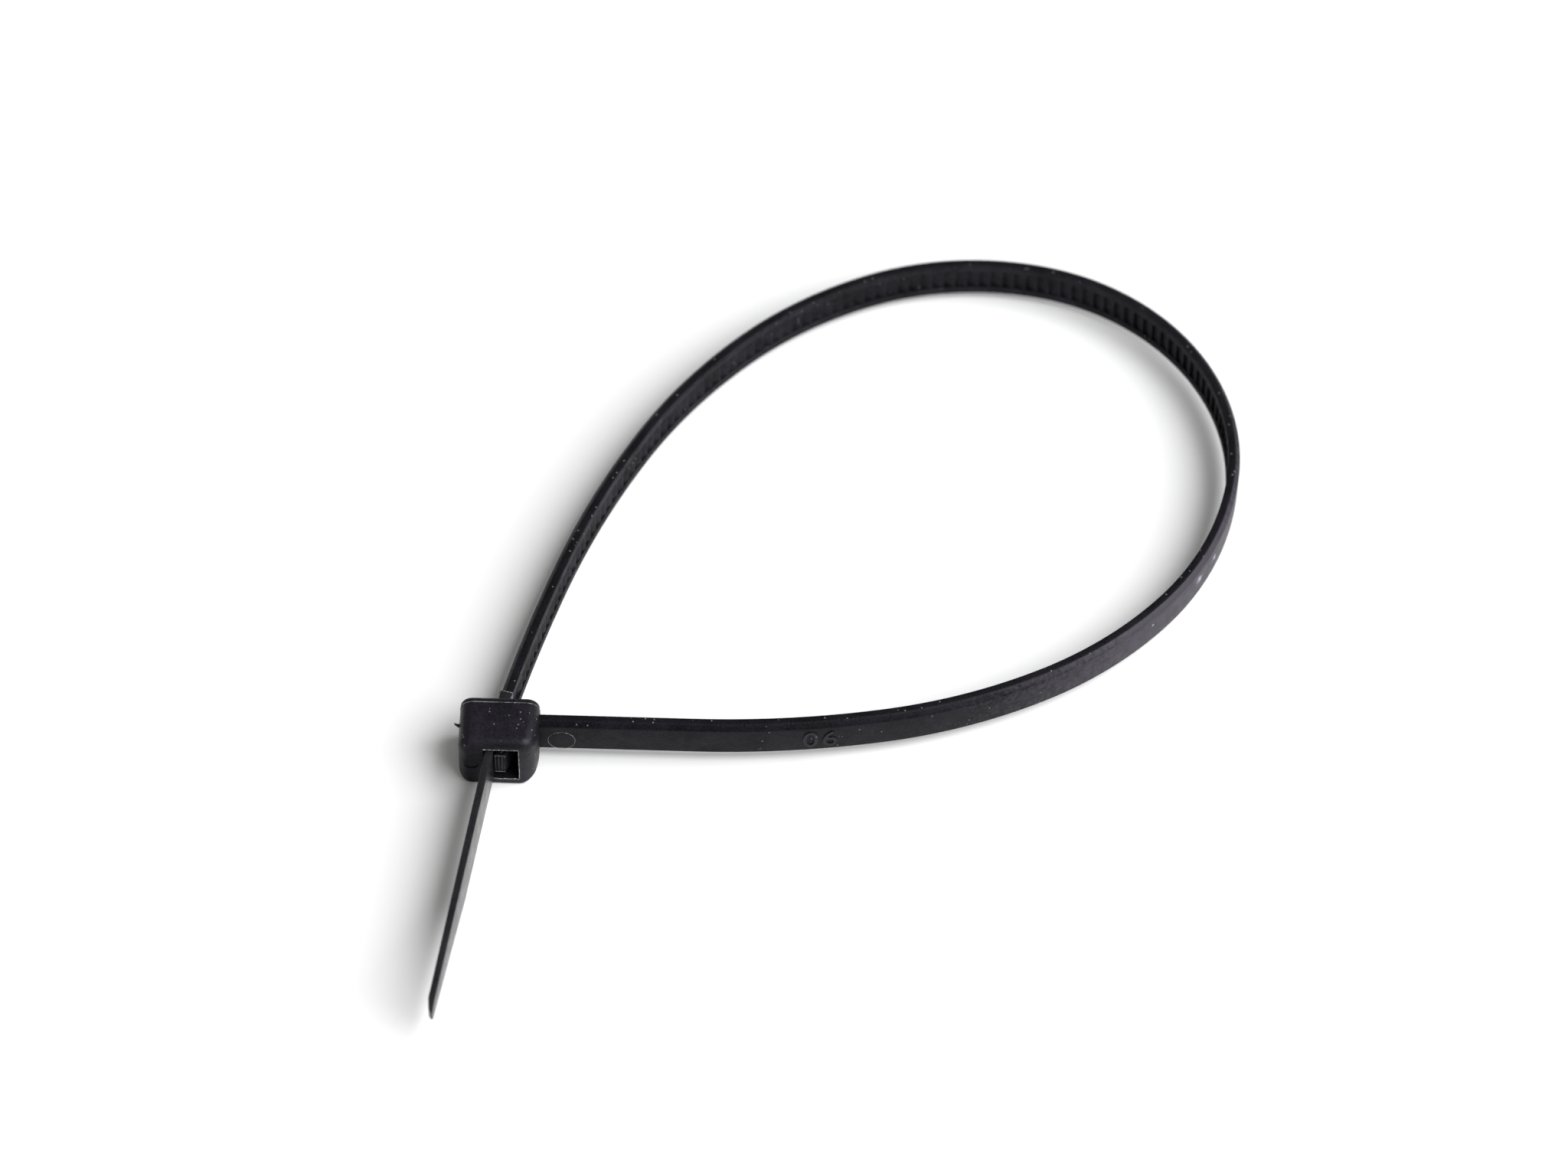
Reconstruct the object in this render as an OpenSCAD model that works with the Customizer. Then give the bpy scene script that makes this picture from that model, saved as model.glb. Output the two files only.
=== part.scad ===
// Nylon cable tie, closed into an open loop and lying on its edge.
// The strap leaves the root side of the head (+X), runs anticlockwise round the loop,
// enters the back of the head (+Y) and leaves its front (-Y) as a short smooth tail.
// Origin: middle of the head's underside. +Z is across the strap's width.

/* [Strap] */
// Width of the strap, across its teeth
strap_w = 3.6; // [2.6:0.1:4.8]
// Thickness of the strap over its rails
strap_t = 1.0; // [0.8:0.05:1.3]
// Chamfer along both outer edges of the strap
edge_chamfer = 0.4; // [0.1:0.05:0.45]
// Width of the toothed channel between the rails
band_w = 2.0; // [1.2:0.1:2.4]
// Depth of the toothed channel
band_depth = 0.4; // [0.2:0.05:0.45]

/* [Teeth] */
// Distance from tooth to tooth
tooth_pitch = 1.02; // [0.8:0.02:1.6]
// Height of a tooth above the channel's floor
tooth_h = 0.32; // [0.15:0.01:0.4]
// Smooth length of strap between the head and the first tooth
teeth_from_root = 14; // [8:1:30]
// Smooth length between the last tooth and the start of the tail
teeth_from_tail = 1; // [0.5:0.5:10]

/* [Loop] */
// Radius of the strap's centre line at the far side of the loop, its tightest bend
far_r = 20; // [15:0.5:28]
// Turn of the far bend in degrees
far_turn = 84; // [80:1:90]
// Turn in degrees of the last stretch of the loop, before the head
approach_turn = 5; // [1:0.5:7]

/* [Tail] */
// Length of the tail beyond the head
tail_l = 25.2; // [12:0.1:60]
// Thickness of the tail at the head
tail_t = 0.6; // [0.4:0.02:0.7]
// Thickness of the tail at its tip
tail_tip_t = 0.54; // [0.3:0.02:0.6]
// Height that the start of the tail stands out on the smooth side of the strap
tail_step = 0.16; // [0.05:0.01:0.2]
// Distance from the start of the tail to the head
tail_step_gap = 1.2; // [0.6:0.1:3]
// Length over which the tail's lower edge rises to its tip
tip_l = 13; // [6:0.5:18]
// Width of the tail at its tip
tip_w = 1.1; // [0.8:0.1:2]
// Length over which the upper edge drops to the tip
tip_nose = 1.6; // [0.5:0.1:3]

/* [Head] */
// Width of the head from its closed side to its root side
head_w = 6.4; // [5.8:0.1:8]
// Depth of the head along the slot
head_d = 4.8; // [4:0.1:6.4]
// Thickness of the head above and below the slot
head_wall = 0.7; // [0.6:0.05:1.2]
// Thickness of the wall between the slot and the strap's root
root_wall = 1.5; // [1.2:0.05:2]
// Width of the slot, across the strap's thickness and the pawl
slot_w = 2.85; // [2.6:0.05:3.2]
// Clearance between the strap's edges and the slot, on each side
slot_clear = 0.15; // [0.05:0.05:0.3]
// Distance from the back of the head to the toothed side of the strap's root
root_setback = 1.0; // [0.6:0.05:1.5]
// Radius of the head's long corners
head_r = 1.05; // [0.5:0.05:1.3]
// Radius round the front of the head
front_r = 0.8; // [0.3:0.05:1.2]
// Radius along the front of the head's underside
foot_r = 0.2; // [0.1:0.05:0.8]
// Radius round the back of the head
back_r = 0.3; // [0.1:0.05:0.4]
// Radius of the ejector mark on the head's front
mark_r = 0.65; // [0.3:0.05:0.8]
// Depth of the ejector mark
mark_depth = 0.08; // [0.04:0.01:0.15]
// Length of the nib that the mould's gate left on the head's closed side
nib_l = 0.4; // [0.2:0.05:0.8]

/* [Pawl] */
// Thickness of the pawl at its free end
pawl_t = 0.85; // [0.6:0.05:0.95]
// Width of the pawl along the strap's width
pawl_w = 2.1; // [1.4:0.1:2.4]
// Gap between the pawl and the tail
pawl_gap = 0.1; // [0.05:0.05:0.2]
// Number of teeth on the pawl
pawl_teeth = 3; // [1:1:4]
// Depth of the notch behind each of the pawl's teeth
pawl_notch = 0.15; // [0.08:0.01:0.2]

/* [Hidden] */
nylon = [0.10, 0.10, 0.105];

// Turn in degrees of each bend between the root and the far bend, with its radius
// as a multiple of far_r. The strap takes them again in reverse on its way back.
bends = [[11, 4.0], [17, 2.35], [21, 1.7], [35, 1.25]];
// Turn in degrees of the tail inside the slot
slot_turn = 5.5;
// Share of the slot's width at which the strap enters it
slot_entry_share = 0.47;

slot_h = strap_w + 2 * slot_clear;
head_h = slot_h + 2 * head_wall;
mid_z = head_h / 2;
slot_x1 = head_w / 2 - root_wall;
slot_x0 = slot_x1 - slot_w;
// Depth to which a sub-part runs into the one that carries it
sink = 0.05;
// Longest step between two sections round a bend of the strap, and of the tail
ring_step = 1.5;
tail_ring_step = 0.8;

// The strap's root reaches into the head up to a thin skin beside the slot
root_skin = 0.4;
root_sink = root_wall - root_skin;
root_pose = [head_w / 2, head_d / 2 - root_setback - strap_t / 2, 0];
entry = [slot_x0 + slot_entry_share * slot_w, head_d / 2];

// A stretch of strap is [length, radius], with a radius of 0 where it is straight.
// A pose is [x, y, heading].
function arc_of(turn, r) = [turn * PI / 180 * r, r];
function after(p, s) =
    let (h = p[2] + (s[1] == 0 ? 0 : s[0] / s[1] * 180 / PI))
    s[1] == 0
        ? [p[0] + s[0] * cos(h), p[1] + s[0] * sin(h), h]
        : [p[0] + s[1] * (sin(h) - sin(p[2])), p[1] - s[1] * (cos(h) - cos(p[2])), h];
function end_pose(p, list, i = 0) = i == len(list) ? p : end_pose(after(p, list[i]), list, i + 1);
function pose_at(list, p, l, i = 0) =
    l <= list[i][0] || i == len(list) - 1
        ? after(p, [l, list[i][1]])
        : pose_at(list, after(p, list[i]), l - list[i][0], i + 1);
function total(list, i = 0) = i == len(list) ? 0 : list[i][0] + total(list, i + 1);
// Distances along a list of stretches at which its section is set: the ends of each
// stretch, and steps of about ring_step round a bend
function stations(list, from = 0, i = 0) =
    i == len(list) ? [from] :
    let (s = list[i], n = s[1] == 0 ? 1 : ceil(s[0] / ring_step))
    concat([for (k = [0:n - 1]) from + s[0] * k / n], stations(list, from + s[0], i + 1));
// A point beside the strap's centre line, at side to the right of its heading
function beside(p, side) = [p[0] + side * sin(p[2]), p[1] - side * cos(p[2])];

out_bends = [for (b = bends) arc_of(b[0], b[1] * far_r)];
back_bends = [for (i = [len(bends) - 1:-1:0]) out_bends[i]];
curve = concat(out_bends, [arc_of(far_turn, far_r)], back_bends);
reach = end_pose([0, 0, 0], curve);
// The straight stretch that leaves the head, and the slight bend that comes back to it,
// are as long as it takes to close the loop
chord_heading = reach[2] + approach_turn / 2;
chord = (entry[1] - root_pose[1] - reach[1]) / sin(chord_heading);
straight_out = entry[0] - root_pose[0] - reach[0] - chord * cos(chord_heading);
approach = arc_of(approach_turn, chord / 2 / sin(approach_turn / 2));
loop = concat([[straight_out, 0]], curve, [approach]);
loop_l = total(loop);

// Inside the head the strap bends a little more, then the tail runs straight
slot_heading = reach[2] + approach_turn;
slot_bend_r = head_d / (cos(slot_heading + slot_turn) - cos(slot_heading));
slot_bend = arc_of(slot_turn, slot_bend_r);
slot_l = slot_bend[0];
thin_share = 0.4;
tail_from = loop_l - tail_step_gap;
tail_start = pose_at(loop, root_pose, tail_from);
tail_path = [[tail_step_gap, approach[1]], slot_bend, [tail_l, 0]];
exit_at = tail_step_gap + slot_l;
tail_end_at = exit_at + tail_l;
thin_from = tail_step_gap + thin_share * slot_l;
tip_pose = pose_at(tail_path, tail_start, tail_end_at);

function pose_on_tail(l) = pose_at(tail_path, tail_start, l);
// Half the tail's thickness at a distance from its start, on the smooth and the toothed side
function outer_half(l) = lookup(l, [[0, strap_t / 2 + tail_step], [thin_from, tail_t / 2],
                                    [exit_at, tail_t / 2], [tail_end_at, tail_tip_t / 2]]);
function inner_half(l) = lookup(l, [[0, strap_t / 2], [thin_from, tail_t / 2],
                                    [exit_at, tail_t / 2], [tail_end_at, tail_tip_t / 2]]);

// Section of the strap, x to the smooth side and y up: chamfered edges, toothed channel
section = let (o = strap_t / 2, w = strap_w / 2, c = edge_chamfer, b = band_w / 2, f = -o + band_depth)
    [[-o, -w], [o - c, -w], [o, -w + c], [o, w - c], [o - c, w], [-o, w],
     [-o, b], [f, b], [f, -b], [-o, -b]];
// The section's points as three convex areas: two rails and the web between them
section_parts = [[0, 1, 2, 8, 9], [2, 3, 7, 8], [3, 4, 5, 6, 7]];

// The section, swept from a pose along a list of stretches
module sweep(p, list) {
    m = len(section);
    at = stations(list);
    points = [for (l = at) let (q = pose_at(list, p, l))
        for (c = section) concat(beside(q, c[0]), mid_z + c[1])];
    sides = [for (i = [0:len(at) - 2], j = [0:m - 1]) let (k = (j + 1) % m)
        [i * m + j, i * m + k, (i + 1) * m + k, (i + 1) * m + j]];
    near_end = [for (f = section_parts) [for (j = [len(f) - 1:-1:0]) f[j]]];
    far_end = [for (f = section_parts) [for (j = f) (len(at) - 1) * m + j]];
    polyhedron(points, concat(sides, near_end, far_end));
}

// The row of teeth: each rises steeply on the side of the root and slopes towards the tail
module teeth() {
    run = tail_from - teeth_from_tail - teeth_from_root;
    count = floor(run / tooth_pitch);
    floor_at = -strap_t / 2 + band_depth;
    crest = [for (i = [0:count - 1], k = [0, 1])
        beside(pose_at(loop, root_pose, teeth_from_root + i * tooth_pitch),
               k == 0 ? floor_at + sink : floor_at - tooth_h)];
    back = [for (i = [count:-1:0])
        beside(pose_at(loop, root_pose, teeth_from_root + i * tooth_pitch),
               floor_at + 3 * sink)];
    last = beside(pose_at(loop, root_pose, teeth_from_root + count * tooth_pitch),
                  floor_at + sink);
    translate([0, 0, mid_z - band_w / 2 - sink])
        linear_extrude(band_w + 2 * sink) polygon(concat(crest, [last], back));
}

// Shallow round ejector mark on the smooth side of the strap, close to the head
module strap_mark() {
    ring_r = 1.1;
    from_head = 0.7;
    depth = 0.05;
    translate([head_w / 2 + from_head + ring_r, root_pose[1] - strap_t / 2, mid_z]) rotate([90, 0, 0])
        cylinder(h = 2 * depth, r = ring_r, center = true, $fn = 64);
}

// The strap from the head round to the start of the tail
module strap() {
    start = [root_pose[0] - root_sink, root_pose[1], 0];
    body = concat([[root_sink + straight_out, 0]], curve, [[approach[0] - tail_step_gap, approach[1]]]);
    difference() {
        sweep(start, body);
        strap_mark();
    }
    teeth();
}

// The smooth tail, thin where it passes the pawl, with a tip that both edges narrow to
module tail() {
    thin_nose = 0.7;
    at = concat([-sink], [for (l = [0:tail_ring_step:exit_at]) l],
                [exit_at + tail_ring_step, tail_end_at - thin_nose]);
    outer = [for (l = at) beside(pose_on_tail(l), outer_half(l))];
    inner = [for (i = [len(at) - 1:-1:0]) beside(pose_on_tail(at[i]), -inner_half(at[i]))];
    end = [beside(tip_pose, 0), beside(tip_pose, -tail_tip_t / 2)];
    top = strap_w / 2;
    nose_drop = 0.35;
    // What is cut off above and below the tip reaches this far past it
    past = 1;
    difference() {
        translate([0, 0, mid_z - top]) linear_extrude(strap_w) polygon(concat(outer, end, inner));
        translate([tip_pose[0], tip_pose[1], mid_z]) rotate([0, 0, tip_pose[2] - 90])
            rotate([90, 0, 90]) linear_extrude(4 * strap_t, center = true) {
                polygon([[-tip_l, -top], [past, -top], [past, top - nose_drop - tip_w],
                         [0, top - nose_drop - tip_w]]);
                polygon([[-tip_nose, top], [0, top - nose_drop], [past, top - nose_drop],
                         [past, top]]);
            }
    }
}

// A rectangle with a radius for each corner: front left, front right, back left, back right,
// where the front is -y
module rounded(w, d, radii) {
    difference() {
        square([w, d], center = true);
        for (i = [0:3]) let (side = i % 2 == 0 ? -1 : 1, end = i < 2 ? -1 : 1, r = radii[i])
            translate([side * w / 2, end * d / 2]) difference() {
                square(2 * r, center = true);
                translate([-side * r, -end * r]) circle(r, $fn = 96);
            }
    }
}

// Outline of the head from above: the root side draws in towards the front
module head_plan() {
    draw_r = 6;
    draw_y = root_pose[1] - strap_t;
    intersection() {
        rounded(head_w, head_d, [front_r, front_r, back_r, back_r]);
        union() {
            translate([-head_w, draw_y]) square([2 * head_w, head_d]);
            translate([-head_w, -head_d]) square([head_w, 2 * head_d]);
            translate([head_w / 2 - draw_r, draw_y]) circle(draw_r, $fn = 360);
        }
    }
}

// The outside of the head: its outline from above, from the front and from the side
module head_block() {
    intersection() {
        linear_extrude(head_h) head_plan();
        translate([0, 0, mid_z]) rotate([90, 0, 0])
            linear_extrude(2 * head_d, center = true)
            rounded(head_w, head_h, [head_r, head_r, head_r, head_r]);
        translate([0, 0, mid_z]) rotate([90, 0, 90])
            linear_extrude(2 * head_w, center = true)
            rotate(-90) rounded(head_h, head_d, [front_r, foot_r, back_r, back_r]);
    }
}

// The head, with the slot through it, a round ejector mark on its front and the gate's nib
module head() {
    mark_x = (slot_x0 - head_w / 2) / 2;
    nib_w = 0.3;
    nib_h = 0.5;
    difference() {
        head_block();
        translate([slot_x0, -head_d, mid_z - slot_h / 2]) cube([slot_w, 2 * head_d, slot_h]);
        translate([mark_x, -head_d / 2, mid_z]) rotate([90, 0, 0])
            cylinder(h = 2 * mark_depth, r = mark_r, center = true, $fn = 64);
    }
    translate([-head_w / 2 - nib_l, 0, head_h - head_r - nib_h / 2])
        cube([nib_l + 2 * sink, nib_w, nib_h]);
}

// The pawl: it springs from the root side of the slot and leans on the tail near the front
module pawl() {
    tip_at = exit_at - pawl_notch;
    top_at = tail_step_gap + thin_share * slot_l;
    tip = beside(pose_on_tail(tip_at), -inner_half(tip_at) - pawl_gap);
    top = beside(pose_on_tail(top_at), -inner_half(top_at) - 3 * pawl_gap);
    tooth_l = 0.9;
    face = [for (i = [0:pawl_teeth - 1], k = [0, 1])
        tip + (top - tip) * (i + k * tooth_l) / pawl_teeth + [k * pawl_notch, 0]];
    // The foot on the slot's wall, from its top to the hinge at its lower end
    foot_top = [slot_x1 + sink, top[1] + 0.9];
    foot_low = [slot_x1 + sink, top[1] - 0.6];
    hinge = [slot_x1 - 0.35, top[1] - 1.0];
    translate([0, 0, mid_z - pawl_w / 2]) linear_extrude(pawl_w)
        polygon(concat(face, [top, foot_top, foot_low, hinge, [tip[0] + pawl_t, tip[1]]]));
}

module cable_tie() {
    color(nylon) {
        head();
        pawl();
        strap();
        tail();
    }
}

cable_tie();
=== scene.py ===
# A black nylon cable tie, closed through its own head into an open loop. It rests on the
# underside of its head, with the edge of its strap downwards. Lengths are in millimetres
# until a mesh is made, and angles in degrees.
import math

import bmesh
import bpy
import numpy as np
from mathutils import Matrix, Vector


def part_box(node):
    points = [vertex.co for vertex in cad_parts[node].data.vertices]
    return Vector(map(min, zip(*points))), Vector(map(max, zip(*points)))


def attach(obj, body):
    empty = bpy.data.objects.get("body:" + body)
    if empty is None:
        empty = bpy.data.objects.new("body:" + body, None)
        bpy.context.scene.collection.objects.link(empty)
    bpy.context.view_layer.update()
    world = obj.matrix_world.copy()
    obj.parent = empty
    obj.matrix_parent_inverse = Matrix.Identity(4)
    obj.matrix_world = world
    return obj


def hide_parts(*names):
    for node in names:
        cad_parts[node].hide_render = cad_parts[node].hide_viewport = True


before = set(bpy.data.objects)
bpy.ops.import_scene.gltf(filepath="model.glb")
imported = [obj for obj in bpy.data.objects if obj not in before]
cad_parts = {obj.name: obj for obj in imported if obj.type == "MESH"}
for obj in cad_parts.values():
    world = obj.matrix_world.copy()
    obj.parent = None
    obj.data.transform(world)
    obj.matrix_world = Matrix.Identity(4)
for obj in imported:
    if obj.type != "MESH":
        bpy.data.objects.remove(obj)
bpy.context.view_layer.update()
tie_low, tie_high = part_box("cable_tie")
MM = 0.001


# ---------------------------------------------------------------------------------------
# Camera. It looks down on the loop from the side of the head, a little rolled.
# ---------------------------------------------------------------------------------------
camera_place = (25.40, -278.43, 388.33)
camera_target = (22.56, 18.44, 0.0)
camera_roll = 1.13
camera_lens = 135.2


def placed(name, data):
    """A new object in the scene, at the origin."""
    piece = bpy.data.objects.new(name, data)
    bpy.context.collection.objects.link(piece)
    return piece


camera_data = bpy.data.cameras.new("camera")
camera_data.lens = camera_lens
camera_data.sensor_width = 36.0
camera_data.clip_start = 0.01
camera_data.clip_end = 20.0
camera = placed("camera", camera_data)
sight = Vector(camera_target) - Vector(camera_place)
camera.rotation_mode = "QUATERNION"
turn = Matrix.Rotation(math.radians(camera_roll), 4, "Z").to_quaternion()
camera.rotation_quaternion = sight.to_track_quat("-Z", "Y") @ turn
camera.location = Vector(camera_place) * MM
bpy.context.scene.camera = camera


# ---------------------------------------------------------------------------------------
# Black nylon. The whole tie is moulded from it: nearly black, with the dull sheen and the
# fine speckle of spark-eroded mould steel, faint flow marks and a few specks of dust.
# ---------------------------------------------------------------------------------------
nylon_ior = 1.53
sheen_tint = (0.95, 0.92, 1.0, 1.0)
speckle_waves, flow_waves, wear_waves, ripple_waves, streak_waves = 6500, 380, 1100, 1500, 2600
grit_cells = 3200
grit_r = 0.2
grit_colour = (0.16, 0.16, 0.155)
grain_height = 0.03


def noise(nodes, links, place, scale, detail):
    """A noise pattern on the piece: scale is in waves per metre."""
    pattern = nodes.new("ShaderNodeTexNoise")
    pattern.inputs["Scale"].default_value = scale
    pattern.inputs["Detail"].default_value = detail
    links.new(place, pattern.inputs["Vector"])
    return pattern.outputs["Fac"]


def ranged(nodes, links, value, low, high, below, above):
    """A value that goes from below to above as the given one goes from low to high."""
    ramp = nodes.new("ShaderNodeMapRange")
    for label, number in (("From Min", low), ("From Max", high),
                          ("To Min", below), ("To Max", above)):
        ramp.inputs[label].default_value = number
    links.new(value, ramp.inputs["Value"])
    return ramp.outputs["Result"]


def combined(nodes, links, operation, one, two):
    """The result of a math operation on two values, of which the second may be a number."""
    step = nodes.new("ShaderNodeMath")
    step.operation = operation
    links.new(one, step.inputs[0])
    if isinstance(two, float):
        step.inputs[1].default_value = two
    else:
        links.new(two, step.inputs[1])
    return step.outputs["Value"]


def tinted(nodes, links, mask, one, two):
    """A colour that goes from one to two with the mask; each is a colour or a socket."""
    blend = nodes.new("ShaderNodeMix")
    blend.data_type = "RGBA"
    links.new(mask, blend.inputs["Factor"])
    for colour, socket in ((one, blend.inputs["A"]), (two, blend.inputs["B"])):
        if isinstance(colour, tuple):
            socket.default_value = (*colour, 1.0)
        else:
            links.new(colour, socket)
    return blend.outputs["Result"]


def nylon(name, dark, pale, shine, gloss, grain, dust):
    """Moulded nylon: its two tints, how much it shines, its roughness, grain and dust."""
    material = bpy.data.materials.new(name)
    material.use_nodes = True
    nodes, links = material.node_tree.nodes, material.node_tree.links
    shader = nodes["Principled BSDF"]
    shader.inputs["IOR"].default_value = nylon_ior
    shader.inputs["Specular IOR Level"].default_value = shine
    shader.inputs["Specular Tint"].default_value = sheen_tint
    place = nodes.new("ShaderNodeTexCoord").outputs["Object"]

    speckle = noise(nodes, links, place, speckle_waves, 3.0)
    flow = noise(nodes, links, place, flow_waves, 3.0)
    mixed = combined(nodes, links, "ADD", speckle, combined(nodes, links, "MULTIPLY", flow, 0.7))
    body = tinted(nodes, links, ranged(nodes, links, mixed, 0.72, 1.02, 0.0, 1.0), dark, pale)

    grit = nodes.new("ShaderNodeTexVoronoi")
    grit.inputs["Scale"].default_value = grit_cells
    links.new(place, grit.inputs["Vector"])
    is_near = combined(nodes, links, "LESS_THAN", grit.outputs["Distance"], grit_r)
    is_chosen = combined(nodes, links, "GREATER_THAN", grit.outputs["Color"], 1.0 - dust)
    speck = combined(nodes, links, "MULTIPLY", is_near, is_chosen)
    links.new(tinted(nodes, links, speck, body, grit_colour), shader.inputs["Base Color"])

    worn = noise(nodes, links, place, wear_waves, 5.0)
    links.new(ranged(nodes, links, worn, 0.35, 0.7, *gloss), shader.inputs["Roughness"])

    ripple = noise(nodes, links, place, ripple_waves, 3.0)
    relief = combined(nodes, links, "ADD", speckle, combined(nodes, links, "MULTIPLY", ripple, 1.2))
    bump = nodes.new("ShaderNodeBump")
    bump.inputs["Strength"].default_value = grain
    bump.inputs["Distance"].default_value = grain_height * MM
    links.new(relief, bump.inputs["Height"])
    links.new(bump.outputs["Normal"], shader.inputs["Normal"])
    return material


def sheened_and_scuffed(material, patches):
    """Adds paler patches: each has a middle, how far it reaches, a colour and a soft edge."""
    nodes, links = material.node_tree.nodes, material.node_tree.links
    colour = nodes["Principled BSDF"].inputs["Base Color"]
    base = colour.links[0].from_socket
    place = nodes.new("ShaderNodeTexCoord").outputs["Object"]
    streaks = noise(nodes, links, place, streak_waves, 4.0)
    for middle, far, pale, edge in patches:
        away = nodes.new("ShaderNodeVectorMath")
        away.operation = "DISTANCE"
        away.inputs[1].default_value = Vector(middle) * MM
        links.new(place, away.inputs[0])
        near = ranged(nodes, links, away.outputs["Value"], 0.0, far * MM, 1.0, 0.0)
        mask = ranged(nodes, links, combined(nodes, links, "ADD", near, streaks), *edge, 0.0, 1.0)
        base = tinted(nodes, links, mask, base, pale)
    links.new(base, colour)


black_nylon = nylon("black_nylon", (0.0020, 0.0018, 0.0034), (0.0110, 0.0098, 0.0150),
                    0.20, (0.40, 0.52), 0.6, 0.24)


def finished(piece, material):
    """The piece takes its material and stands for the tie, at its place in the frame."""
    piece.data.materials.clear()
    piece.data.materials.append(material)
    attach(piece, "root")
    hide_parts("cable_tie")
    return piece


# ---------------------------------------------------------------------------------------
# The strap. One flat strip with a toothed channel on the inside of the loop and chamfered
# edges on the outside. It is moulded onto the head's root side and bent round by hand.
# ---------------------------------------------------------------------------------------
strap_w = 3.6
strap_t = 1.0
edge_chamfer = 0.4
band_w = 2.0
band_depth = 0.3
head_w, head_d = 6.4, 4.8
root_wall, slot_w = 1.5, 2.85
root_setback = 1.0
far_r, far_turn = 20.0, 84.0
bends = ((11.0, 4.0), (17.0, 2.35), (21.0, 1.7), (35.0, 1.25))
approach_turn = 5.0
slot_entry_share = 0.47
tail_step_gap = 1.2

mid_z = tie_high.z / MM / 2
slot_x1 = head_w / 2 - root_wall
slot_x0 = slot_x1 - slot_w
root_pose = (head_w / 2, head_d / 2 - root_setback - strap_t / 2, 0.0)
entry = (slot_x0 + slot_entry_share * slot_w, head_d / 2)


def bend(angle, radius):
    """A stretch of strap: its length and its radius, which is 0 where it is straight."""
    return (math.radians(angle) * radius, radius)


def after(pose, stretch):
    """The pose (x, y, heading) at the end of a stretch that starts at a pose."""
    length, radius = stretch
    x, y, heading = pose
    h = math.radians(heading)
    if radius == 0:
        return (x + length * math.cos(h), y + length * math.sin(h), heading)
    k = h + length / radius
    return (x + radius * (math.sin(k) - math.sin(h)),
            y - radius * (math.cos(k) - math.cos(h)), math.degrees(k))


def pose_at(route, start, length):
    """The pose at a length along a route that starts at a pose."""
    pose = start
    for stretch in route[:-1]:
        if length <= stretch[0]:
            return after(pose, (length, stretch[1]))
        pose = after(pose, stretch)
        length -= stretch[0]
    return after(pose, (length, route[-1][1]))


def beside(pose, side, z):
    """A point beside the centre line: side is to the right, the smooth side of the strap."""
    h = math.radians(pose[2])
    return (pose[0] + side * math.sin(h), pose[1] - side * math.cos(h), z)


out_bends = [bend(angle, share * far_r) for angle, share in bends]
curve = out_bends + [bend(far_turn, far_r)] + out_bends[::-1]
reach = (0.0, 0.0, 0.0)
for stretch in curve:
    reach = after(reach, stretch)
# The straight stretch that leaves the head, and the slight bend that comes back to it, are
# as long as it takes to close the loop.
chord_heading = math.radians(reach[2] + approach_turn / 2)
chord = (entry[1] - root_pose[1] - reach[1]) / math.sin(chord_heading)
straight_out = entry[0] - root_pose[0] - reach[0] - chord * math.cos(chord_heading)
approach = bend(approach_turn, chord / 2 / math.sin(math.radians(approach_turn / 2)))
loop = [(straight_out, 0.0)] + curve + [approach]
loop_l = sum(stretch[0] for stretch in loop)
tail_from = loop_l - tail_step_gap


def softened(points, radii, steps=3):
    """The outline with its corners rounded, each by its own small radius."""
    outline = []
    for i, here in enumerate(points):
        here = Vector(here)
        one = (Vector(points[i - 1]) - here).normalized() * radii[i]
        two = (Vector(points[(i + 1) % len(points)]) - here).normalized() * radii[i]
        for k in range(steps + 1):
            t = k / steps
            outline.append(here + one * (1 - t) ** 2 + two * t ** 2)
    return outline


def smoothed(piece, angle):
    """The piece shaded smooth, except across edges sharper than the angle."""
    piece.data.shade_smooth()
    piece.data.set_sharp_from_angle(angle=math.radians(angle))
    return piece


def strap_section():
    """Section of the strap: chamfered smooth side, two rails and the channel between them."""
    o, w, c, b = strap_t / 2, strap_w / 2, edge_chamfer, band_w / 2
    f = -o + band_depth
    corners = ((-o, -w), (o - c, -w), (o, c - w), (o, w - c), (o - c, w), (-o, w),
               (-o, b), (f, b), (f, -b), (-o, -b))
    radii = (0.06, 0.1, 0.1, 0.1, 0.1, 0.06, 0.06, 0.04, 0.04, 0.06)
    return [(point.x, point.y) for point in softened(corners, radii)]


def line_object(name, points, closed=False):
    """A curve object of straight steps through points."""
    line = bpy.data.curves.new(name, "CURVE")
    line.dimensions = "3D"
    spline = line.splines.new("POLY")
    spline.points.add(len(points) - 1)
    for spot, point in zip(spline.points, points):
        spot.co = (*(Vector(point) * MM), 1.0)
    spline.use_cyclic_u = closed
    return placed(name, line)


def new_tree(name, inputs):
    """A Geometry Nodes tree with a Geometry input and output and the named inputs."""
    tree = bpy.data.node_groups.new(name, "GeometryNodeTree")
    tree.interface.new_socket("Geometry", in_out="INPUT", socket_type="NodeSocketGeometry")
    for label, kind in inputs:
        tree.interface.new_socket(label, in_out="INPUT", socket_type="NodeSocket" + kind)
    tree.interface.new_socket("Geometry", in_out="OUTPUT", socket_type="NodeSocketGeometry")
    return tree, tree.nodes.new("NodeGroupInput"), tree.nodes.new("NodeGroupOutput")


def closing(tree, given, made, geometry):
    """Ends a tree: what it made becomes real and takes the material."""
    real = tree.nodes.new("GeometryNodeRealizeInstances")
    tree.links.new(geometry, real.inputs["Geometry"])
    coloured = tree.nodes.new("GeometryNodeSetMaterial")
    tree.links.new(real.outputs["Geometry"], coloured.inputs["Geometry"])
    tree.links.new(given.outputs["Material"], coloured.inputs["Material"])
    tree.links.new(coloured.outputs["Geometry"], made.inputs["Geometry"])
    return tree


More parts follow.
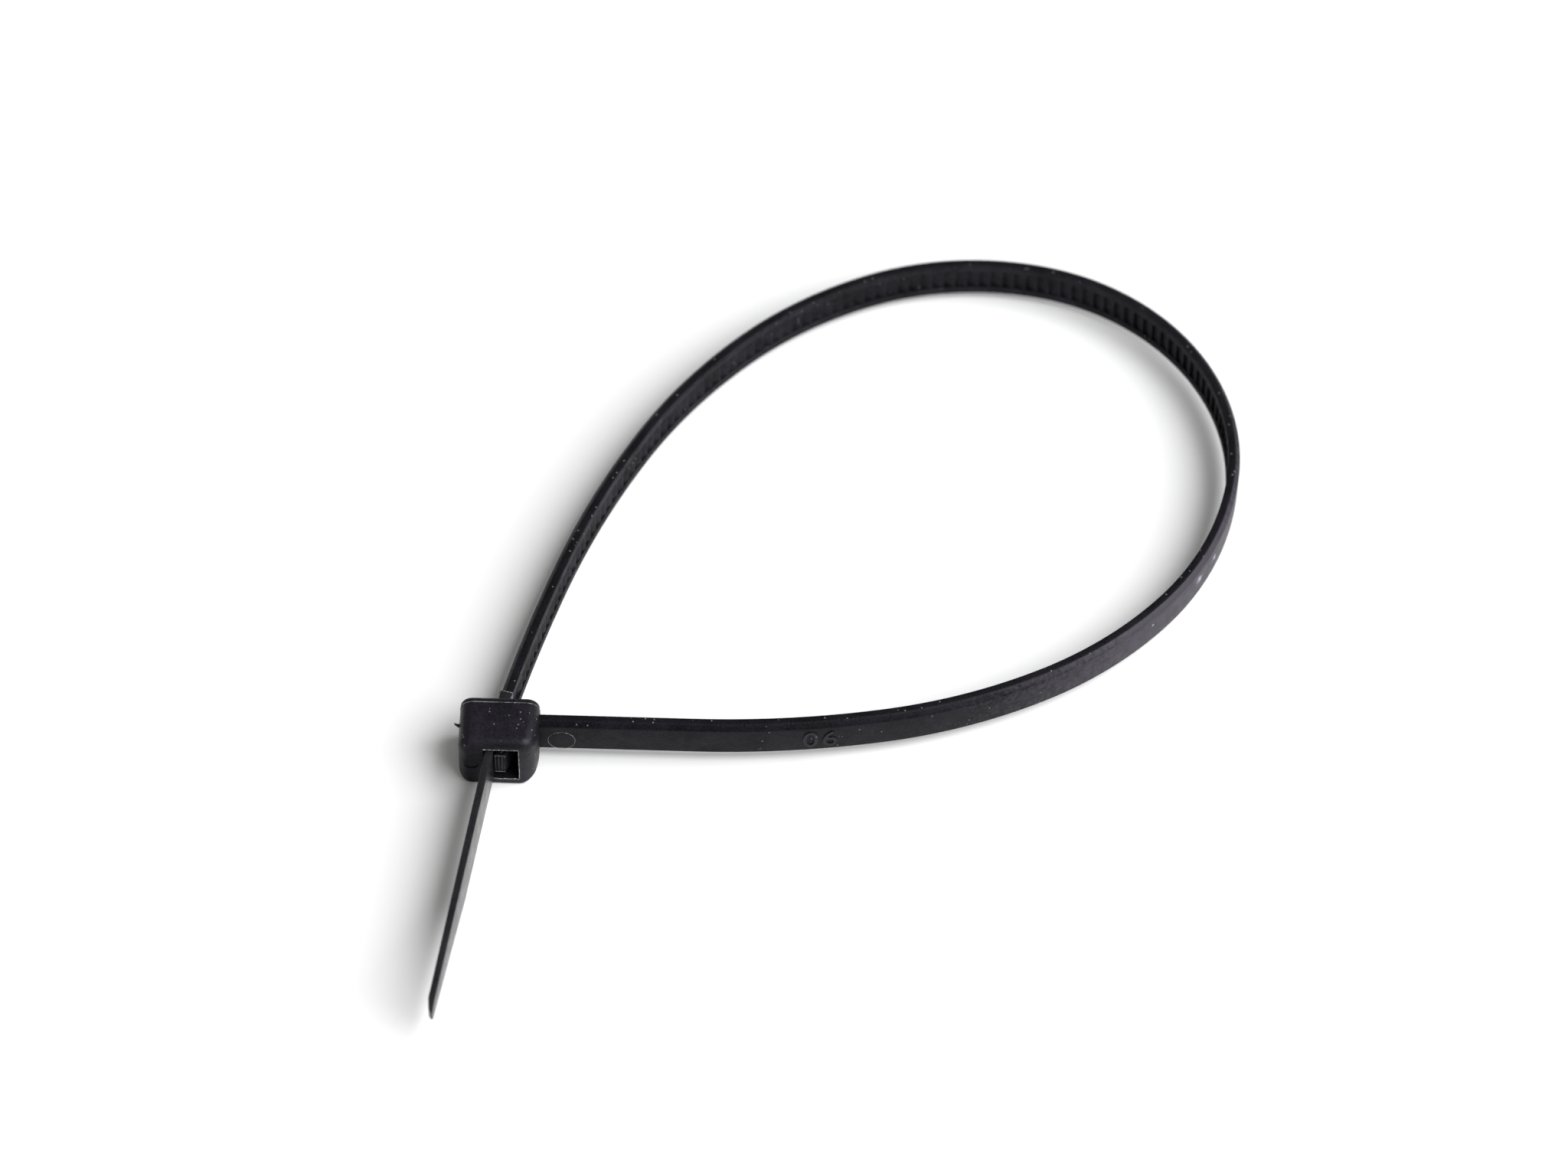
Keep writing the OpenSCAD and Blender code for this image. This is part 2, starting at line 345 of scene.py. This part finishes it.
def moulded_along_path():
    """A tree that carries a section along a level path, with the section's x to the right."""
    tree, given, made = new_tree("moulded_along_path", (("Section", "Object"),
                                                        ("Material", "Material")))
    nodes, links = tree.nodes, tree.links
    upright = nodes.new("GeometryNodeSetCurveNormal")
    upright.mode = "Z_UP"
    links.new(given.outputs["Geometry"], upright.inputs["Curve"])
    section = nodes.new("GeometryNodeObjectInfo")
    links.new(given.outputs["Section"], section.inputs["Object"])
    skin = nodes.new("GeometryNodeCurveToMesh")
    skin.inputs["Fill Caps"].default_value = True
    links.new(upright.outputs["Curve"], skin.inputs["Curve"])
    links.new(section.outputs["Geometry"], skin.inputs["Profile Curve"])
    return closing(tree, given, made, skin.outputs["Mesh"])


def grown(name, source, tree, settings):
    """The plain mesh that a tree makes from a source object, which is then removed."""
    modifier = source.modifiers.new("growth", "NODES")
    modifier.node_group = tree
    sockets = {item.name: item.identifier for item in tree.interface.items_tree
               if item.in_out == "INPUT"}
    for label, value in settings.items():
        modifier[sockets[label]] = value
    bpy.context.view_layer.update()
    evaluated = source.evaluated_get(bpy.context.evaluated_depsgraph_get())
    mesh = bpy.data.meshes.new_from_object(evaluated)
    mesh.name = name
    source.modifiers.remove(modifier)
    bpy.data.objects.remove(source)
    return placed(name, mesh)


strap_step = 0.6
root_skin = 0.4
root_sink = root_wall - root_skin
strap_start = (root_pose[0] - root_sink, root_pose[1], 0.0)
strap_route = [(root_sink + straight_out, 0.0)] + loop[1:]
strap_l = root_sink + tail_from
strap_count = round(strap_l / strap_step)
strap_line = line_object("strap_line", [
    beside(pose_at(strap_route, strap_start, strap_l * i / strap_count), 0.0, mid_z)
    for i in range(strap_count + 1)])
strap_shape = line_object("strap_shape", [(side, z, 0.0) for side, z in strap_section()],
                          closed=True)
strap = grown("strap", strap_line, moulded_along_path(),
              {"Section": strap_shape, "Material": black_nylon})
bpy.data.objects.remove(strap_shape)

# Where the strap bends most its smooth side is painted paler. This is partly a painted
# reflection, the light that the bend catches at a grazing angle, and partly whitening of the
# bent nylon. It is also scuffed in three places.
smooth_nylon = nylon("smooth_nylon", (0.0012, 0.0011, 0.0022), (0.0072, 0.0064, 0.0100),
                     0.11, (0.42, 0.55), 0.7, 0.18)
scuff_spots = ((61.5, 0.25, 0.8), (58.75, 0.35, 1.0), (52.5, 0.55, 0.4))
# The first patch is the broad painted reflection over the bend; the three after it are scuffs.
bend_sheen_and_scuffs = [(beside(pose_at(loop, root_pose, 57.0), strap_t / 2, mid_z), 25.0,
           (0.041, 0.038, 0.047), (0.62, 1.25))]
bend_sheen_and_scuffs += [(beside(pose_at(loop, root_pose, length), strap_t / 2, mid_z + up), far,
            (0.30, 0.29, 0.34), (1.0, 1.45)) for length, up, far in scuff_spots]
sheened_and_scuffed(smooth_nylon, bend_sheen_and_scuffs)

# The inner side, which lay against the part of the mould that cuts the teeth, is duller.
toothed_nylon = nylon("toothed_nylon", (0.0024, 0.0022, 0.0036), (0.0145, 0.0130, 0.0182),
                      0.09, (0.50, 0.66), 0.9, 0.14)
edge_nylon = nylon("edge_nylon", (0.0010, 0.0009, 0.0018), (0.0070, 0.0064, 0.0092),
                   0.13, (0.42, 0.55), 0.7, 0.24)
finished(smoothed(strap, 30), edge_nylon)
strap.data.materials.append(toothed_nylon)
strap.data.materials.append(smooth_nylon)
edge_level = 0.85
loop_middle = (Vector(tie_low) + Vector(tie_high)) / 2
for face in strap.data.polygons:
    if abs(face.normal.z) < edge_level:
        is_inner = face.normal.to_2d().dot((loop_middle - face.center).to_2d()) > 0
        face.material_index = 1 if is_inner else 2


# ---------------------------------------------------------------------------------------
# The teeth. A row of small ramps across the channel, moulded with the strap: each rises
# steeply on the side of the root, to catch the pawl, and slopes away towards the tail.
# ---------------------------------------------------------------------------------------
tooth_pitch = 1.02
tooth_h = 0.25
tooth_l = 0.96 * tooth_pitch
tooth_crest = (0.05, 0.16)
tooth_foot, rail_sink = 0.08, 0.03
teeth_from_root = 14.0
teeth_from_tail = 1.0


def solid(name, body):
    """The piece that a bmesh describes."""
    mesh = bpy.data.meshes.new(name)
    body.to_mesh(mesh)
    body.free()
    return placed(name, mesh)


def lofted(rings):
    """A closed bmesh over rings of points, each ring with as many points as the others."""
    body = bmesh.new()
    made = [[body.verts.new(Vector(point) * MM) for point in ring] for ring in rings]
    count = len(rings[0])
    for one, two in zip(made, made[1:]):
        for i in range(count):
            k = (i + 1) % count
            body.faces.new((one[i], one[k], two[k], two[i]))
    body.faces.new(made[0][::-1])
    body.faces.new(made[-1])
    bmesh.ops.recalc_face_normals(body, faces=body.faces)
    return body


def one_tooth():
    """A tooth along x, rising to y, with its foot sunk in the floor and its rails' walls."""
    profile = ((0.0, -tooth_foot), (tooth_l, -tooth_foot), (tooth_l, 0.0),
               (tooth_crest[1], tooth_h), (tooth_crest[0], tooth_h))
    half = band_w / 2 + rail_sink
    return solid("tooth", lofted([[(x, y, z) for x, y in profile] for z in (-half, half)]))


def row_along_path():
    """A tree that sets a copy of a piece at every pitch along a path, turned to follow it."""
    tree, given, made = new_tree("row_along_path", (("Pitch", "Float"), ("Piece", "Object"),
                                                    ("Material", "Material")))
    nodes, links = tree.nodes, tree.links
    spaced = nodes.new("GeometryNodeResampleCurve")
    spaced.mode = "LENGTH"
    links.new(given.outputs["Geometry"], spaced.inputs["Curve"])
    links.new(given.outputs["Pitch"], spaced.inputs["Length"])
    source = nodes.new("GeometryNodeObjectInfo")
    links.new(given.outputs["Piece"], source.inputs["Object"])
    tangent = nodes.new("GeometryNodeInputTangent")
    turned = nodes.new("FunctionNodeAlignRotationToVector")
    turned.axis = "X"
    turned.pivot_axis = "Z"
    links.new(tangent.outputs["Tangent"], turned.inputs["Vector"])
    copies = nodes.new("GeometryNodeInstanceOnPoints")
    links.new(spaced.outputs["Curve"], copies.inputs["Points"])
    links.new(source.outputs["Geometry"], copies.inputs["Instance"])
    links.new(turned.outputs["Rotation"], copies.inputs["Rotation"])
    return closing(tree, given, made, copies.outputs["Instances"])


tooth = one_tooth()
teeth_count = math.floor((tail_from - teeth_from_tail - teeth_from_root) / tooth_pitch)
floor_side = -strap_t / 2 + band_depth
teeth_line = line_object("teeth_line", [
    beside(pose_at(loop, root_pose, teeth_from_root + i * tooth_pitch), floor_side, mid_z)
    for i in range(teeth_count)])
teeth = grown("teeth", teeth_line, row_along_path(),
              {"Pitch": tooth_pitch * MM, "Piece": tooth, "Material": toothed_nylon})
bpy.data.objects.remove(tooth)
finished(teeth, toothed_nylon)


# ---------------------------------------------------------------------------------------
# The tail. Smooth and thinner than the strap, so that it threads through the head by hand.
# It starts with a small step just before the head and ends in a narrowed, rounded tip.
# ---------------------------------------------------------------------------------------
tail_l = 25.2
tail_t, tail_tip_t = 0.6, 0.54
tail_step = 0.16
tip_l, tip_w, tip_nose, nose_drop = 13.0, 1.1, 1.6, 0.35
slot_turn = 5.5
tip_round, tip_thin = 0.4, 1.2
edge_at_start, edge_in_slot, soft_edge = 0.34, 0.12, 0.04
tail_ring_step = 0.4
tip_ring_gaps = (1.2, 0.8, 0.55, 0.4, 0.28, 0.18, 0.1, 0.04, 0.0)

slot_heading = math.radians(reach[2] + approach_turn)
slot_bend_r = head_d / (math.cos(slot_heading + math.radians(slot_turn))
                        - math.cos(slot_heading))
slot_bend = bend(slot_turn, slot_bend_r)
tail_start = pose_at(loop, root_pose, tail_from)
tail_route = [(tail_step_gap, approach[1]), slot_bend, (tail_l, 0.0)]
exit_at = tail_step_gap + slot_bend[0]
tail_end_at = exit_at + tail_l
thin_share = 0.4
thin_from = tail_step_gap + thin_share * slot_bend[0]
thin_places = (0.0, thin_from, exit_at, tail_end_at)


def outer_half(length):
    """Half the tail's thickness on its smooth side, at a length from its start."""
    return np.interp(length, thin_places,
                     (strap_t / 2 + tail_step, tail_t / 2, tail_t / 2, tail_tip_t / 2))


def inner_half(length):
    """Half the tail's thickness on the side of the loop."""
    return np.interp(length, thin_places, (strap_t / 2, tail_t / 2, tail_t / 2, tail_tip_t / 2))


def tail_section(length):
    """Section of the tail: a flat bar whose edges come together towards the tip."""
    from_tip = tail_end_at - length
    w = strap_w / 2
    low = np.interp(from_tip, (0.0, tip_l), (w - nose_drop - tip_w, -w))
    nose = 1 - min(1.0, from_tip / tip_nose)
    high = w - nose_drop * nose ** 2
    if from_tip < tip_round:
        low += tip_round * (1 - math.sqrt(1 - (1 - from_tip / tip_round) ** 2))
    inner = -inner_half(length)
    out = outer_half(length) * np.interp(from_tip, (0.0, tip_round, tip_thin), (-0.5, 0.4, 1.0))
    soft = min(soft_edge, 0.3 * (out - inner))
    edge = np.interp(length, (0.0, thin_from, exit_at), (edge_at_start, edge_in_slot, soft))
    edge = min(float(edge), 0.5 * (out - inner))
    corners = ((inner, low), (out, low), (out, high), (inner, high))
    return softened(corners, (soft, edge, edge, soft))


tail_nylon = nylon("tail_nylon", (0.0030, 0.0030, 0.0038), (0.0130, 0.0125, 0.0150),
                   0.42, (0.26, 0.36), 0.45, 0.10)
nose_at = tail_end_at - tip_nose
tail_count = round(nose_at / tail_ring_step)
tail_lengths = [nose_at * i / tail_count for i in range(tail_count + 1)]
tail_lengths += [tail_end_at - gap for gap in tip_ring_gaps]
tail_rings = []
for length in tail_lengths:
    pose = pose_at(tail_route, tail_start, length)
    tail_rings.append([beside(pose, point.x, mid_z + point.y) for point in tail_section(length)])
tail = solid("tail", lofted(tail_rings))
finished(smoothed(tail, 30), tail_nylon)


# ---------------------------------------------------------------------------------------
# The head. A small block with well rounded long corners, drawn in at the front of its root
# side, with the slot through it for the strap. Its front is finished softer than its back.
# ---------------------------------------------------------------------------------------
head_r, front_r, foot_r, back_r, least_r = 1.05, 0.8, 0.2, 0.3, 0.3
slot_clear = 0.15
draw_r = 6.0
draw_from = root_pose[1] - strap_t
mark_r, mark_depth = 0.65, 0.08
mark_x = (slot_x0 - head_w / 2) / 2


def set_in(y, front, back):
    """How far the head's surface lies in from its full size at y, for two of its radii."""
    for gap, radius in ((head_d / 2 + y, front), (head_d / 2 - y, back)):
        if gap < radius:
            return radius - math.sqrt(radius ** 2 - (radius - gap) ** 2)
    return 0.0


def head_ring(y, proud=0.0):
    """The head's outline across the slot at y, or a ring that stands proud of it."""
    side = set_in(y, front_r, back_r) - proud
    drawn = draw_r - math.sqrt(draw_r ** 2 - max(0.0, draw_from - y) ** 2)
    low, high = set_in(y, foot_r, back_r) - proud, 2 * mid_z - side
    left, right = -head_w / 2 + side, head_w / 2 - side - drawn
    r = max(head_r - side, least_r)
    centres = ((right - r, high - r), (left + r, high - r),
               (left + r, low + r), (right - r, low + r))
    steps = 10
    return [(x + r * math.cos(math.radians(90 * (corner + k / steps))), y,
             z + r * math.sin(math.radians(90 * (corner + k / steps))))
            for corner, (x, z) in enumerate(centres) for k in range(steps + 1)]


def block(name, low, high):
    """A box between two corners."""
    body = bmesh.new()
    bmesh.ops.create_cube(body, size=1.0)
    for vertex in body.verts:
        vertex.co = Vector([(low[k] + (vertex.co[k] + 0.5) * (high[k] - low[k])) * MM
                            for k in range(3)])
    return solid(name, body)


def round_pin(name, place, radius, length):
    """A round pin along y, through a place."""
    body = bmesh.new()
    lie = Matrix.Translation(Vector(place) * MM) @ Matrix.Rotation(math.radians(90), 4, "X")
    bmesh.ops.create_cone(body, cap_ends=True, segments=48, radius1=radius * MM,
                          radius2=radius * MM, depth=length * MM, matrix=lie)
    return solid(name, body)


def cut(piece, tool):
    """Takes one solid out of another and removes the tool."""
    modifier = piece.modifiers.new("cut", "BOOLEAN")
    modifier.operation = "DIFFERENCE"
    modifier.solver = "EXACT"
    modifier.object = tool
    bpy.context.view_layer.update()
    evaluated = piece.evaluated_get(bpy.context.evaluated_depsgraph_get())
    mesh = bpy.data.meshes.new_from_object(evaluated)
    piece.modifiers.remove(modifier)
    piece.data = mesh
    bpy.data.objects.remove(tool)


front_rows = [-head_d / 2 + front_r * (1 - math.cos(math.radians(a))) for a in range(0, 91, 6)]
drawn_rows = [(draw_from - front_rows[-1]) * i / 5 + front_rows[-1] for i in range(1, 6)]
level_row = 1.2
back_rows = [head_d / 2 - back_r * (1 - math.cos(math.radians(a))) for a in range(90, -1, -15)]
head_rows = front_rows + drawn_rows + [level_row] + back_rows
head = solid("head", lofted([head_ring(y) for y in head_rows]))
slot_half = strap_w / 2 + slot_clear
slot_low, slot_high = mid_z - slot_half, mid_z + slot_half
cut(head, block("slot", (slot_x0, -head_d, slot_low), (slot_x1, head_d, slot_high)))
cut(head, round_pin("ejector", (mark_x, -head_d / 2, mid_z), mark_r, 2 * mark_depth))
finished(smoothed(head, 35), black_nylon)


# ---------------------------------------------------------------------------------------
# The pawl. A short springy finger moulded on the root side of the slot, just clear of the
# smooth tail. Its small teeth are there to catch the strap's, once it is pulled through.
# ---------------------------------------------------------------------------------------
pawl_t, pawl_w = 0.85, 2.1
pawl_gap = 0.1
pawl_teeth = 3
pawl_setback = 0.15
pawl_cut = 0.15
pawl_tooth_share = 0.9
foot_up, foot_down, foot_sink = 0.9, 0.6, 0.1
hinge_in, hinge_down = 0.35, 1.0
pawl_ridges, ridge_share, ridge_h = 3, 0.6, 0.12
pawl_edge = 0.03


def tail_point(length, gap):
    """A point in plan on the tail's inner side, at a gap from it."""
    pose = pose_at(tail_route, tail_start, length)
    return Vector(beside(pose, -inner_half(length) - gap, 0.0)).to_2d()


pawl_tip = tail_point(exit_at - pawl_setback, pawl_gap)
pawl_top = tail_point(thin_from, 3 * pawl_gap)


def pawl_outline():
    """The pawl from above: its toothed face, its foot on the wall and its free end."""
    face = []
    for i in range(pawl_teeth):
        face.append(pawl_tip + (pawl_top - pawl_tip) * i / pawl_teeth)
        face.append(pawl_tip + (pawl_top - pawl_tip) * (i + pawl_tooth_share) / pawl_teeth
                    + Vector((pawl_cut, 0.0)))
    wall = slot_x1 + foot_sink
    foot = [Vector((wall, pawl_top.y + foot_up)), Vector((wall, pawl_top.y - foot_down)),
            Vector((slot_x1 - hinge_in, pawl_top.y - hinge_down))]
    end = []
    for i in range(pawl_ridges):
        end.append(pawl_tip + Vector((pawl_t * (1 - i / pawl_ridges), 0.0)))
        end.append(pawl_tip + Vector((pawl_t * (1 - (i + ridge_share) / pawl_ridges), ridge_h)))
    return face + [pawl_top] + foot + end


pawl_low, pawl_high = mid_z - pawl_w / 2, mid_z + pawl_w / 2
pawl_body = lofted([[(point.x, point.y, z) for point in pawl_outline()]
                    for z in (pawl_low, pawl_high)])
bmesh.ops.bevel(pawl_body, geom=pawl_body.edges[:], offset=pawl_edge * MM, segments=2,
                profile=0.5, affect="EDGES", clamp_overlap=True)
pawl = solid("pawl", pawl_body)
finished(smoothed(pawl, 30), black_nylon)


# ---------------------------------------------------------------------------------------
# Mould marks. A fine ragged flash where parts of the mould met: round the head, on three
# sides of the slot's mouth, over the tail's start, on the pawl and at an ejector. It is pale:
# partly whitened flash, partly a painted highlight, the light that these thin edges catch.
# ---------------------------------------------------------------------------------------
wander_waves, swelling_waves = 9000, 5500


def flash_along_path():
    """A tree that makes a thin ragged thread along a path, wandering by a little."""
    tree, given, made = new_tree("flash_along_path", (
        ("Spacing", "Float"), ("Wander", "Float"), ("Thickness", "Float"),
        ("Material", "Material")))
    nodes, links = tree.nodes, tree.links
    spaced = nodes.new("GeometryNodeResampleCurve")
    spaced.mode = "LENGTH"
    links.new(given.outputs["Geometry"], spaced.inputs["Curve"])
    links.new(given.outputs["Spacing"], spaced.inputs["Length"])
    rough = nodes.new("ShaderNodeTexNoise")
    rough.inputs["Scale"].default_value = wander_waves
    rough.inputs["Detail"].default_value = 2.0
    centred = nodes.new("ShaderNodeVectorMath")
    centred.operation = "SUBTRACT"
    centred.inputs[1].default_value = (0.5, 0.5, 0.5)
    links.new(rough.outputs["Color"], centred.inputs[0])
    stray = nodes.new("ShaderNodeVectorMath")
    stray.operation = "SCALE"
    links.new(centred.outputs["Vector"], stray.inputs["Vector"])
    links.new(given.outputs["Wander"], stray.inputs["Scale"])
    moved = nodes.new("GeometryNodeSetPosition")
    links.new(spaced.outputs["Curve"], moved.inputs["Geometry"])
    links.new(stray.outputs["Vector"], moved.inputs["Offset"])
    swelling = nodes.new("ShaderNodeTexNoise")
    swelling.inputs["Scale"].default_value = swelling_waves
    uneven = ranged(nodes, links, swelling.outputs["Fac"], 0.35, 0.68, 0.1, 1.8)
    thick = nodes.new("GeometryNodeSetCurveRadius")
    links.new(moved.outputs["Geometry"], thick.inputs["Curve"])
    links.new(uneven, thick.inputs["Radius"])
    ring = nodes.new("GeometryNodeCurvePrimitiveCircle")
    ring.inputs["Resolution"].default_value = 6
    links.new(given.outputs["Thickness"], ring.inputs["Radius"])
    skin = nodes.new("GeometryNodeCurveToMesh")
    skin.inputs["Fill Caps"].default_value = True
    links.new(thick.outputs["Curve"], skin.inputs["Curve"])
    links.new(ring.outputs["Curve"], skin.inputs["Profile Curve"])
    return closing(tree, given, made, skin.outputs["Mesh"])


def circle_points(centre, radius, count=48):
    """Points of an upright circle that faces the front."""
    return [(centre[0] + radius * math.cos(2 * math.pi * i / count), centre[1],
             centre[2] + radius * math.sin(2 * math.pi * i / count)) for i in range(count)]


# Pale grey on the black nylon: partly whitened flash, partly painted highlight on thin edges.
flash_and_highlight_nylon = nylon("flash_and_highlight_nylon", (0.06, 0.06, 0.062), (0.40, 0.40, 0.39),
                   0.4, (0.4, 0.6), 0.4, 0.1)
flash_tree = flash_along_path()
parting_y, parting_proud = 1.86, 0.01
flash_spacing = 0.06
front_y = -head_d / 2
slot_mouth = [(slot_x0, front_y, slot_low), (slot_x1, front_y, slot_low),
              (slot_x1, front_y, slot_high), (slot_x0, front_y, slot_high)]
step_in, step_out = -0.48, outer_half(0.0)
step_line = [beside(tail_start, side, mid_z + z) for side, z in (
    (step_in, strap_w / 2), (step_out - edge_at_start, strap_w / 2),
    (step_out, strap_w / 2 - edge_at_start), (step_out, edge_at_start - strap_w / 2))]
pawl_burr_gap = 0.02
pawl_front = pawl_tip.y - pawl_burr_gap
pawl_lines = [[(pawl_tip.x, pawl_front, z), (pawl_tip.x + pawl_t, pawl_front, z)]
              for z in (pawl_high, pawl_low)]
strap_mark_r, strap_mark_gap, strap_mark_drop = 1.1, 0.7, 0.35
strap_mark = (head_w / 2 + strap_mark_gap + strap_mark_r, root_pose[1] - strap_t / 2,
              mid_z - strap_mark_drop)
# The ring on the strap's smooth side stands for the lit rim of an ejector's dent: its paleness
# there is painted highlight.
flashes = (("parting_line", head_ring(parting_y, parting_proud), True, 0.022, 0.05),
           ("slot_burr", slot_mouth, False, 0.036, 0.12),
           ("step_line", step_line, False, 0.028, 0.05),
           ("pawl_burr_top", pawl_lines[0], False, 0.022, 0.04),
           ("pawl_burr_low", pawl_lines[1], False, 0.022, 0.04),
           ("strap_ejector_line", circle_points(strap_mark, strap_mark_r), True, 0.015, 0.06))
for name, points, is_closed, thickness, wander in flashes:
    flash = grown(name, line_object(name + "_path", points, is_closed), flash_tree,
                  {"Spacing": flash_spacing * MM, "Wander": wander * MM,
                   "Thickness": thickness * MM, "Material": flash_and_highlight_nylon})
    finished(smoothed(flash, 60), flash_and_highlight_nylon)


# ---------------------------------------------------------------------------------------
# The gate's nib, a torn stub of nylon on the head's closed side, and the number of the
# mould's cavity, two small raised digits on the smooth side of the strap.
# ---------------------------------------------------------------------------------------
nib_l, nib_w, nib_h, nib_sink, nib_curl = 0.4, 0.3, 0.5, 0.08, 0.3
nib_y = 0.15
end_narrower, end_flatter = 0.75, 0.6
nib_foot = (-head_w / 2 + nib_sink, nib_y, 2 * mid_z - head_r)


def nib_ring(share):
    """A ring of the nib at a share of its length: it thins and curls up to its end."""
    half_w = nib_w / 2 * (1 - end_narrower * share)
    half_h = nib_h / 2 * (1 - end_flatter * share)
    x = nib_foot[0] - (nib_l + nib_sink) * share
    z = nib_foot[2] + nib_curl * share ** 2
    return [(x, nib_foot[1] + half_w * math.cos(math.radians(a)),
             z + half_h * math.sin(math.radians(a))) for a in range(0, 360, 30)]


nib = solid("gate_nib", lofted([nib_ring(i / 5) for i in range(6)]))
finished(smoothed(nib, 50), black_nylon)

digit_h, digit_from, digit_relief, digit_edge, digit_sink = 1.9, 21.2, 0.07, 0.02, 0.01
font_height = 0.7
digits = bpy.data.curves.new("cavity_number", "FONT")
digits.body = "06"
digits.size = digit_h / font_height * MM
digits.space_character = 1.15
digits.extrude = digit_relief * MM
digits.bevel_depth = digit_edge * MM
writing = placed("cavity_number_text", digits)
bpy.context.view_layer.update()
evaluated = writing.evaluated_get(bpy.context.evaluated_depsgraph_get())
digit_mesh = bpy.data.meshes.new_from_object(evaluated)
bpy.data.objects.remove(writing)
for vertex in digit_mesh.vertices:
    along, up, out = vertex.co / MM
    place = beside(pose_at(loop, root_pose, digit_from + along),
                   strap_t / 2 + out - digit_sink, mid_z - digit_h / 2 + up)
    vertex.co = Vector(place) * MM
finished(smoothed(placed("cavity_number", digit_mesh), 30), black_nylon)


# ---------------------------------------------------------------------------------------
# The surface under the tie and the light: a plain white table, one soft light high on the
# right and a little to the front, and pale light from all round. The far side of the loop
# lies just out of the camera's focus, which is on the head.
# ---------------------------------------------------------------------------------------
def table_top():
    """A large plain white surface."""
    mesh = bpy.data.meshes.new("table")
    half = 3.0
    mesh.from_pydata([(-half, -half, 0), (half, -half, 0), (half, half, 0), (-half, half, 0)],
                     [], [(0, 1, 2, 3)])
    material = bpy.data.materials.new("white_table")
    material.use_nodes = True
    shader = material.node_tree.nodes["Principled BSDF"]
    shader.inputs["Base Color"].default_value = (0.86, 0.865, 0.87, 1.0)
    shader.inputs["Roughness"].default_value = 0.9
    shader.inputs["Specular IOR Level"].default_value = 0.1
    mesh.materials.append(material)
    return placed("table", mesh)


def soft_light(name, place, aim, size, power):
    """A rectangular area light at a place in metres, turned to an aim."""
    data = bpy.data.lights.new(name, "AREA")
    data.shape = "RECTANGLE"
    data.size, data.size_y = size
    data.energy = power
    lamp = placed(name, data)
    lamp.location = place
    lamp.rotation_mode = "QUATERNION"
    lamp.rotation_quaternion = (Vector(aim) - Vector(place)).to_track_quat("-Z", "Y")


table_top()
soft_light("window", (0.42, -0.10, 0.44), (0.02, 0.02, 0.0), (0.60, 0.60), 7.5)
camera_data.dof.use_dof = True
camera_data.dof.focus_object = head
camera_data.dof.aperture_fstop = 24.0
world = bpy.data.worlds.new("room")
world.use_nodes = True
world.node_tree.nodes["Background"].inputs["Color"].default_value = (1.0, 0.985, 0.96, 1.0)
world.node_tree.nodes["Background"].inputs["Strength"].default_value = 0.28
bpy.context.scene.world = world
bpy.context.scene.view_settings.view_transform = "Standard"
